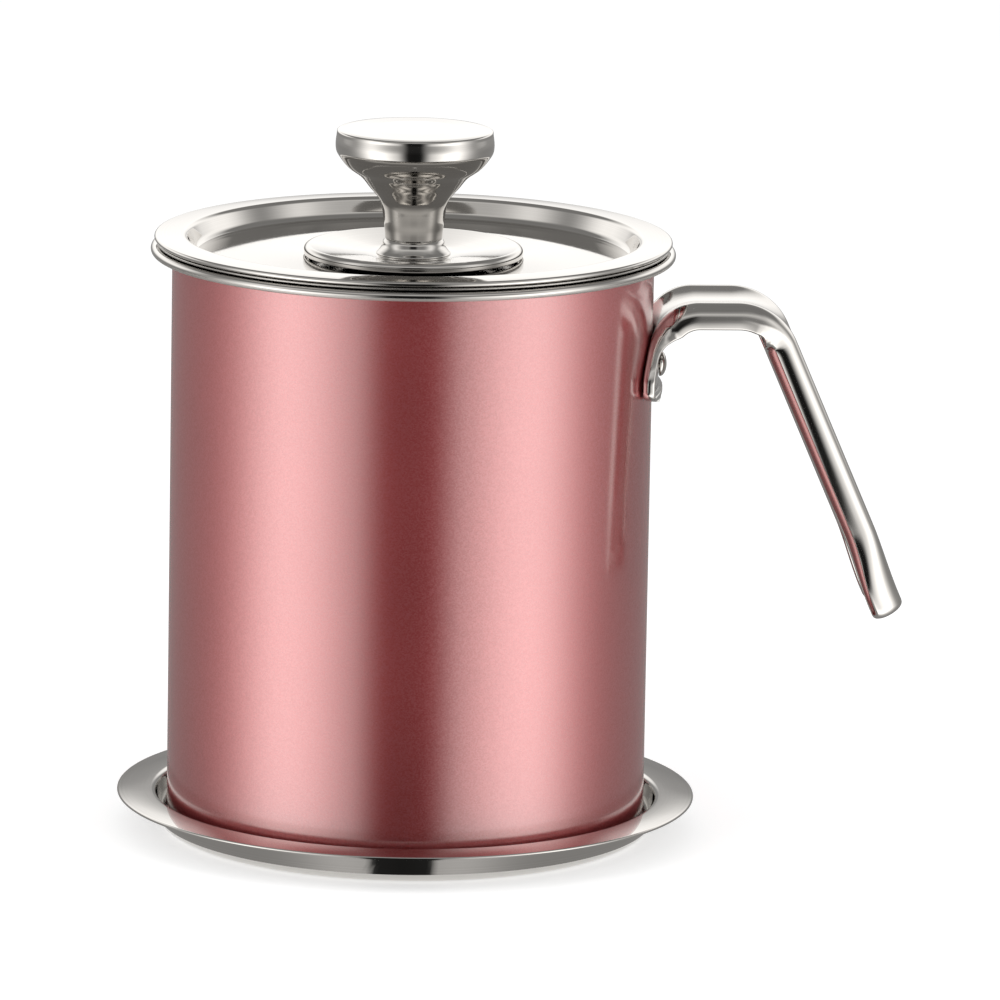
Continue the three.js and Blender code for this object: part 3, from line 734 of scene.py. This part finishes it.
class AddRivet(bpy.types.Operator):
    """Adds the rivet: a domed head on the tab, a shank, and a flat head inside the pot"""
    bl_idname = "grease_container.add_rivet"
    bl_label = "Add Rivet"

    def execute(self, context):
        size = context.scene.container_rivet
        face = size.inner - size.head_height
        edge, lip = 0.3 * MM, 0.25 * MM
        rise = np.linspace(0, np.pi / 2, 16)[1:]
        outline = np.vstack([
            (0, face), (size.head - 2 * edge, face),
            arc_points((size.head - edge, face + edge), edge, -np.pi / 2, 0, FINE_STEP),
            arc_points((size.head - edge / 2, size.inner - edge / 2), edge / 2, 0, np.pi / 2, FINE_STEP),
            (size.shank, size.inner), (size.shank, size.outer),
            arc_points((size.dome - lip, size.outer + lip), lip, -np.pi / 2, 0, FINE_STEP),
            np.stack([size.dome * np.cos(rise),
                      size.outer + lip + (size.dome_height - lip) * np.sin(rise)], 1),
        ])
        outline[-1][0] = 0
        made = turned("tab_rivet", outline, RIVET_SIDES)
        # The outline is turned about Z, and then its axis is laid along X at the rivet's level
        x, y, z = coordinates(made.data).T
        made.data.vertices.foreach_set("co", np.stack([z, y, size.level - x], 1).ravel())
        piece(made, "pot", "polished_steel", [mirror_steel()], "handle_rivet")
        return {"FINISHED"}


class AddStrainer(bpy.types.Operator):
    """Adds the drop-in strainer: a flanged frame, a perforated screen and the ring that holds it"""
    bl_idname = "grease_container.add_strainer"
    bl_label = "Add Strainer"

    def execute(self, context):
        size = context.scene.container_strainer
        middle = size.sheet / 2
        line = bent_line([
            (size.radius - size.sheet - size.ledge + middle, size.foot + middle),
            (size.radius - middle, size.foot + middle, size.foot_bend),
            (size.radius - middle, size.top - middle, size.top_bend),
            (size.flange - middle, size.top - middle),
        ])
        frame_piece = turned("strainer_wall", sheet_outline(line, size.sheet))
        piece(frame_piece, "strainer", "satin_steel", [satin_steel()], "strainer_frame")

        low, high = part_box("strainer_ring")
        outline = rounded_band(size.screen - size.ring, size.screen, low.z, high.z, 0.15 * MM)
        ring = turned("strainer_clamp_ring", outline)
        piece(ring, "strainer", "satin_steel", [satin_steel()], "strainer_ring")
        self.add_screen(size)
        return {"FINISHED"}

    def add_screen(self, size):
        """A disc with rings of round holes, six more in each ring than in the one inside it. It is a flat
        curve with a small bevel, made a mesh."""
        reach_out = size.radius - size.sheet - size.ledge - size.bare
        rings = int(reach_out / size.pitch)
        places = [(0.0, 0.0)]
        for ring in range(1, rings + 1):
            turns = np.arange(6 * ring) * 2 * np.pi / (6 * ring)
            places += np.stack([np.cos(turns), np.sin(turns)], 1).dot(ring * size.pitch).tolist()
        low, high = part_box("strainer_screen")
        edge = 0.08 * MM
        curve = bpy.data.curves.new("screen_outline", "CURVE")
        curve.dimensions = "2D"
        curve.fill_mode = "BOTH"
        curve.extrude = (high.z - low.z) / 2 - edge
        curve.bevel_depth = edge
        curve.bevel_resolution = 0
        curve.offset = -edge
        hole_sides = 14
        circles = [((0.0, 0.0), size.screen, SIDES)] + [(place, size.hole, hole_sides) for place in places]
        for (x, y), radius, sides in circles:
            turns = np.arange(sides) * 2 * np.pi / sides
            spline = curve.splines.new("POLY")
            spline.points.add(sides - 1)
            points = np.stack([x + radius * np.cos(turns), y + radius * np.sin(turns),
                               np.zeros(sides), np.ones(sides)], 1)
            spline.points.foreach_set("co", points.ravel())
            spline.use_cyclic_u = True
        holder = linked("screen_outline", curve)
        bpy.context.view_layer.update()
        shown = holder.evaluated_get(bpy.context.evaluated_depsgraph_get())
        flat = bpy.data.meshes.new_from_object(shown)
        bpy.data.objects.remove(holder)
        bpy.data.curves.remove(curve)
        points = coordinates(flat) + [0, 0, (low.z + high.z) / 2]
        flat.vertices.foreach_set("co", points.ravel())
        flat.materials.clear()
        flat.update()
        screen = linked("strainer_mesh", flat)
        screen.modifiers.new("Weld", "WELD").merge_threshold = WELD
        piece(screen, "strainer", "satin_steel", [satin_steel()], "strainer_screen")


class AddLid(bpy.types.Operator):
    """Adds the lid: a flat well, a steep wall, a crowned ring and an edge hemmed flat"""
    bl_idname = "grease_container.add_lid"
    bl_label = "Add Lid"

    def execute(self, context):
        size = context.scene.container_lid
        hole = context.scene.container_knob.hole
        middle = size.sheet / 2
        floor = size.foot + middle
        ring_top = size.top - middle
        edge_top = size.top - size.crown - middle
        fold = size.radius - size.sheet
        line = bent_line([
            (hole + middle, floor),
            (size.well - middle - size.draft, floor, size.well_bend),
            (size.well - middle, ring_top, size.ring_bend),
            (fold, edge_top),
        ])
        hem = arc_points((fold, edge_top - middle), middle, np.pi / 2, -np.pi / 2, FINE_STEP)
        back = np.array([(size.radius - size.hem, edge_top - size.sheet)])
        line = np.vstack([line, hem[1:], back])
        made = turned("lid_shell", sheet_outline(line, size.sheet))
        piece(made, "lid", "polished_steel", [mirror_steel()], "lid")
        return {"FINISHED"}


# The knob's outline as shares of its radius and height, from its foot to the edge of its top
KNOB_SHARES = np.array([
    (0.36, 0), (0.368, 0.072), (0.38, 0.128), (0.393, 0.211), (0.42, 0.32), (0.496, 0.404),
    (0.565, 0.457), (0.623, 0.513), (0.697, 0.57), (0.813, 0.623), (0.892, 0.679), (0.945, 0.732),
    (0.993, 0.789), (1, 0.85), (0.985, 0.945),
])
COLLAR_SHARES = np.array([(1, 0.06), (0.92, 0.3), (0.85, 0.6), (0.83, 0.8), (0.78, 0.97)])


class AddKnob(bpy.types.Operator):
    """Adds the knob on its dished seat, with the flared collar between them"""
    bl_idname = "grease_container.add_knob"
    bl_label = "Add Knob"

    def execute(self, context):
        size = context.scene.container_knob
        middle = size.seat_sheet / 2
        base, crown = foot("knob_seat"), top("knob_seat")
        rim = size.seat - middle
        line = bent_line([
            (size.hole + middle, base + middle),
            (size.seat_flat, base + middle, size.seat_dish),
            (rim, crown - middle, size.seat_rim),
            (rim, base + 0.3 * MM + middle),
        ])
        seat = turned("knob_seat_plate", sheet_outline(line, size.seat_sheet))
        piece(seat, "lid", "polished_steel", [mirror_steel()], "knob_seat")

        low, high = foot("knob_collar"), top("knob_collar")
        height = high - low
        levels = np.linspace(COLLAR_SHARES[0, 1], COLLAR_SHARES[-1, 1], 28)
        flare = smooth_through(COLLAR_SHARES[:, 1], COLLAR_SHARES[:, 0], levels)
        lip = 0.12 * MM
        outline = np.vstack([
            (size.hole, low), (size.collar - 2 * lip, low),
            arc_points((size.collar - lip, low + lip), lip, -np.pi / 2, 0, CORNER_STEP),
            np.stack([blurred(flare, 3) * size.collar, low + levels * height], 1),
            (0.765 * size.collar, high), (0.74 * size.collar, high), (size.hole, high),
        ])
        collar = turned("knob_flared_collar", outline)
        piece(collar, "lid", "polished_steel", [mirror_steel()], "knob_collar")

        low, high = foot("knob"), top("knob")
        height = high - low
        levels = np.linspace(0, KNOB_SHARES[-1, 1], 150)
        waist = blurred(smooth_through(KNOB_SHARES[:, 1], KNOB_SHARES[:, 0], levels), 7)
        side = np.stack([waist * size.radius, low + levels * height], 1)
        shoulder = bent_line([
            tuple(side[-1]),
            (0.983 * size.radius, low + 0.979 * height, 0.5 * MM),
            (0.9 * size.radius, low + 0.987 * height, 8 * MM),
            (0.5 * size.radius, high, 30 * MM),
            (0, high),
        ], np.radians(4))
        outline = np.vstack([
            (0, low + size.hole_depth), (size.hole, low + size.hole_depth), (size.hole, low),
            (side[0][0] - 0.5 * MM, low), side, shoulder[1:],
        ])
        knob = turned("turned_knob", outline)
        piece(knob, "lid", "polished_steel", [mirror_steel()], "knob")
        return {"FINISHED"}


class AddScrew(bpy.types.Operator):
    """Adds the screw that holds the knob from below, with a cross recess and a thread, and its washer"""
    bl_idname = "grease_container.add_screw"
    bl_label = "Add Screw"

    def execute(self, context):
        size = context.scene.container_knob
        low, high = foot("knob_screw"), top("knob_screw")
        t = np.arange(SCREW_SIDES) * 2 * np.pi / SCREW_SIDES
        shoulder = low + size.head_height
        # The head: a pan whose radius and depth follow a quarter of a rounded square
        rise = np.linspace(0, np.pi / 2, 40)
        pan_radius = size.head * np.sin(rise) ** 0.8
        pan_height = shoulder - size.head_height * np.cos(rise) ** 0.6
        # The recess: depth falls off with the distance from the nearer of the two crossed slots
        radius = pan_radius[:, None]
        x, y = radius * np.cos(t), radius * np.sin(t)
        slot_half, slot_reach, slot_depth, slot_fade = 0.42 * MM, 2.1 * MM, 1.25 * MM, 0.35
        across = np.minimum(np.abs(x), np.abs(y))
        inside = 1 - ease(across, slot_half, slot_half + 0.16 * MM)
        inside = inside * (1 - ease(radius, slot_reach - 0.5 * MM, slot_reach))
        head_z = pan_height[:, None] + slot_depth * inside * (1 - slot_fade * radius / slot_reach)
        head = np.stack(np.broadcast_arrays(x, y, head_z), -1)
        # The thread: radius = core + ridge, where the ridge is a triangle wave of height minus turn
        rows = np.arange(shoulder + 0.3 * MM, high - 1.2 * MM, size.pitch / 8)
        phase = (rows[:, None] / size.pitch - t / (2 * np.pi)) % 1
        ridge = 1 - 2 * np.abs(phase - 0.5)
        core = size.shank - THREAD_DEPTH
        runout = ease(rows, high - 2.2 * MM, high - 1.3 * MM)[:, None]
        thread_radius = core + (size.shank - core) * ridge * (1 - runout)
        thread = ring_points(thread_radius, rows[:, None], t)
        flat = ring_points(np.array([[size.head * 0.985], [core]]), shoulder, t)
        tip = ring_points(np.array([[core * 0.9], [core * 0.45]]), np.array([[high - MM], [high]]), t)
        grid = np.concatenate([head[1:], flat, thread, tip])
        points = np.vstack([grid.reshape(-1, 3), head[0, :1], [[0, 0, high]]])
        screw = new_object("cross_recess_screw", points,
                           grid_faces(len(grid), SCREW_SIDES, False).tolist()
                           + end_fans(len(grid), SCREW_SIDES))
        piece(screw, "lid", "zinc_steel", [zinc_steel()], "knob_screw")

        low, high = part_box("knob_washer")
        outline = rounded_band(size.hole, high.x, low.z, high.z, 0.12 * MM)
        washer = turned("screw_washer", outline, SCREW_SIDES)
        piece(washer, "lid", "zinc_steel", [zinc_steel()], "knob_washer")
        return {"FINISHED"}


# The tent's distance from the axis and its height, from its inner edge to its top
TENT_PROFILE = np.array([
    (0.06, 0.0004), (0.07, 0.0004), (0.08, 0.0004), (0.086, 0.0004), (0.092, 0.0004), (0.1, 0.0005),
    (0.13, 0.0006), (0.17, 0.0008), (0.22, 0.004), (0.3, 0.02), (0.42, 0.05), (0.52, 0.09), (0.58, 0.14),
    (0.6, 0.2), (0.6, 0.26), (0.6, 0.34), (0.59, 0.42), (0.56, 0.5), (0.5, 0.58), (0.4, 0.66),
    (0.28, 0.72), (0.14, 0.75), (0.01, 0.76),
])


class AddStage(bpy.types.Operator):
    """Adds the camera, the pale floor, two lamps, the white room and the tent that steel reflects"""
    bl_idname = "grease_container.add_stage"
    bl_label = "Add Stage"

    def execute(self, context):
        studio = context.scene.container_studio
        self.add_camera(context, studio)
        self.add_floor()
        self.add_room(context, studio)
        self.add_lamps(context, studio)
        self.add_tent(studio)
        context.scene.view_settings.view_transform = "Standard"
        return {"FINISHED"}

    def add_camera(self, context, studio):
        lens = bpy.data.cameras.new("camera")
        lens.lens = studio.lens
        lens.sensor_width = 36
        lens.clip_end = 50
        camera = linked("camera", lens)
        sine, cosine = np.sin(studio.elevation), np.cos(studio.elevation)
        level = np.array([np.sin(studio.azimuth), np.cos(studio.azimuth), 0])
        upright = np.array([0, 0, 1.0])
        right = np.cross(level, upright)
        ahead, up = cosine * level - sine * upright, sine * level + cosine * upright
        place = studio.aim_side * right + studio.aim_up * upright - studio.distance * ahead
        lean, stand = np.sin(studio.roll), np.cos(studio.roll)
        right, up = stand * right + lean * up, stand * up - lean * right
        camera.matrix_world = placed(place, right, up)
        context.scene.camera = camera

    def add_floor(self):
        # It lies a hair below the tray's flat underside, so that the two don't flicker through each other
        points = np.array([(-4, -4), (4, -4), (4, 4), (-4, 4)], float)
        points = np.column_stack([points, np.full(4, -0.02 * MM)])
        floor = new_object("floor", points, [(0, 1, 2, 3)])
        material, tree = new_material("Matt white board")
        seen = self.seen_directly(tree)
        matt = add(tree, "BsdfDiffuse", values={"Color": (0.86, 0.86, 0.86, 1)})
        glow = add(tree, "Emission", {"Strength": add(
            tree, "Math", {0: seen}, {1: 0.45}, operation="MULTIPLY").outputs[0]})
        both = add(tree, "AddShader", {0: matt.outputs[0], 1: glow.outputs[0]})
        add(tree, "OutputMaterial", {"Surface": both.outputs[0]})
        floor.data.materials.append(material)

    def seen_directly(self, tree):
        """1 for rays of the camera and for those that polished or clear surfaces send on, otherwise 0."""
        path = add(tree, "LightPath")
        shiny = add(tree, "Math", {0: path.outputs["Is Glossy Ray"],
                                             1: path.outputs["Is Transmission Ray"]},
                    operation="MAXIMUM")
        return add(tree, "Math", {0: path.outputs["Is Camera Ray"], 1: shiny.outputs[0]},
                   operation="MAXIMUM").outputs[0]

    def add_room(self, context, studio):
        world = bpy.data.worlds.new("white_room")
        world.use_nodes = True
        tree = world.node_tree
        tree.nodes.clear()
        level = add(tree, "MapRange", {"Value": self.seen_directly(tree)},
                    {"To Min": studio.ambient, "To Max": 1.0})
        light = add(tree, "Background", {"Strength": level.outputs[0]},
                    {"Color": (1, 1, 1, 1)})
        add(tree, "OutputWorld", {"Surface": light.outputs[0]})
        context.scene.world = world

    def add_lamps(self, context, studio):
        aim, distance, level_share, drop = np.array([0, 0, 0.08]), 1.1, 0.92, 0.39
        for name, azimuth in (("lamp_left", -62), ("lamp_right", 62)):
            lamp = bpy.data.lights.new(name, "AREA")
            lamp.size = 0.9
            lamp.energy = studio.lamp_power
            turn = np.radians(azimuth) - studio.azimuth
            toward = np.array([-np.sin(turn) * level_share, np.cos(turn) * level_share, -drop])
            right = np.cross(toward, (0, 0, 1))
            right /= np.linalg.norm(right)
            holder = linked(name, lamp)
            holder.matrix_world = placed(aim - toward * distance, right, np.cross(right, toward))
            holder.visible_glossy = False

    def add_tent(self, studio):
        """A tent of pale cloth round the object, which only reflections see. It is a turned surface that
        lies on the worktop near the object, stands up round it and closes overhead."""
        columns = 360
        t = np.arange(columns) * 2 * np.pi / columns
        r, z = TENT_PROFILE[:, :1], TENT_PROFILE[:, 1:]
        tent = new_object("tent", ring_points(r, z, t).reshape(-1, 3), grid_faces(len(r), columns, False))
        glow = tent.data.attributes.new("glow", "FLOAT", "POINT")
        glow.data.foreach_set("value", self.tent_glow(studio, r, z, t).ravel())
        material, tree = new_material("Tent cloth")
        level = add(tree, "Attribute", attribute_name="glow")
        light = add(tree, "Emission", {"Strength": level.outputs["Fac"]},
                    {"Color": (1.0, 0.985, 0.965, 1)})
        add(tree, "OutputMaterial", {"Surface": light.outputs[0]})
        material.cycles.emission_sampling = "NONE"
        tent.data.materials.append(material)
        tent.visible_camera = False
        tent.visible_diffuse = False
        tent.visible_shadow = False

    def tent_glow(self, studio, r, z, t):
        """How brightly each point of the tent shines, from its height and from its azimuth in degrees
        off the camera's side. Where the tent lies near the pot, the pot's wall sends a ray there at
        azimuth b with b = side + asin(pot radius / r * sin(b / 2)), and b is found by repeating that."""
        pot = bpy.context.scene.container_pot.radius
        side = np.abs((t + studio.azimuth + np.pi / 2 + np.pi) % (2 * np.pi) - np.pi)
        azimuth = np.broadcast_to(side, (len(r), len(t)))
        for _ in range(40):
            azimuth = np.minimum(side + np.arcsin(np.minimum(pot / r, 1) * np.sin(azimuth / 2)), np.pi)
        azimuth = np.degrees(azimuth)

        def bell(middle, width):
            return np.exp(-((azimuth - middle) / width) ** 2 / 2)

        def mixed(under, over, amount_over):
            return under * (1 - amount_over) + over * amount_over

        # Low down there is a broad panel on each side, and a dark gap where the camera looks in
        wide = bell(60, np.where(azimuth < 60, 24, 19))
        low = mixed(studio.tent_base, studio.tent_peak, wide) * (0.03 + 0.97 * ease(azimuth, 8, 27))
        # On the worktop close to the tray it is grey, with a sharp dark gap
        near = (0.3 + 0.25 * bell(25, 15)) * (0.04 + 0.96 * ease(azimuth, 12, 16))
        bright = mixed(near, low, ease(r, 0.084, 0.096))
        # Higher up the panels are narrower and dimmer, and so is the gap
        high = (0.26 + 0.8 * bell(72, 13)) * (0.1 + 0.9 * ease(azimuth, 7, 20))
        bright = mixed(bright, high, ease(z, 0.15, 0.25))
        # The backdrop behind is white from just above the object up to the tent's shoulder
        behind = ease(azimuth, 95, 130) * ease(z, 0.12, 0.24) * (1 - ease(z, 0.38, 0.48))
        bright = mixed(bright, studio.tent_backdrop, behind)
        # The roof is an even grey, and a panel hangs in front of it over the camera
        bright = mixed(bright, studio.tent_roof, ease(z, 0.5, 0.66))
        in_front = (1 - ease(azimuth, 50, 85)) * ease(z, 0.46, 0.54) * (1 - ease(z, 0.62, 0.68))
        return mixed(bright, 0.75, in_front)


OPERATORS = (AddTray, AddPot, AddHandle, AddRivet, AddStrainer, AddLid, AddKnob, AddScrew, AddStage)
SETTINGS = {
    "container_tray": TraySize, "container_pot": PotSize, "container_strainer": StrainerSize,
    "container_lid": LidSize, "container_knob": KnobSize, "container_handle": HandleSize,
    "container_rivet": RivetSize, "container_finishes": Finishes, "container_studio": Studio,
}


class ContainerPanel(bpy.types.Panel):
    """Lists the pieces of the grease container"""
    bl_idname = "VIEW3D_PT_grease_container"
    bl_label = "Grease Container"
    bl_space_type = "VIEW_3D"
    bl_region_type = "UI"
    bl_category = "Grease Container"

    def draw(self, context):
        for operator in OPERATORS:
            self.layout.operator(operator.bl_idname)


def register():
    for kind in (*SETTINGS.values(), *OPERATORS, ContainerPanel):
        bpy.utils.register_class(kind)
    for name, kind in SETTINGS.items():
        setattr(bpy.types.Scene, name, bpy.props.PointerProperty(type=kind))


def unregister():
    for name in SETTINGS:
        delattr(bpy.types.Scene, name)
    for kind in reversed((*SETTINGS.values(), *OPERATORS, ContainerPanel)):
        bpy.utils.unregister_class(kind)


def main():
    register()
    for operator in OPERATORS:
        group, name = operator.bl_idname.split(".")
        getattr(getattr(bpy.ops, group), name)()


if __name__ == "__main__":
    main()
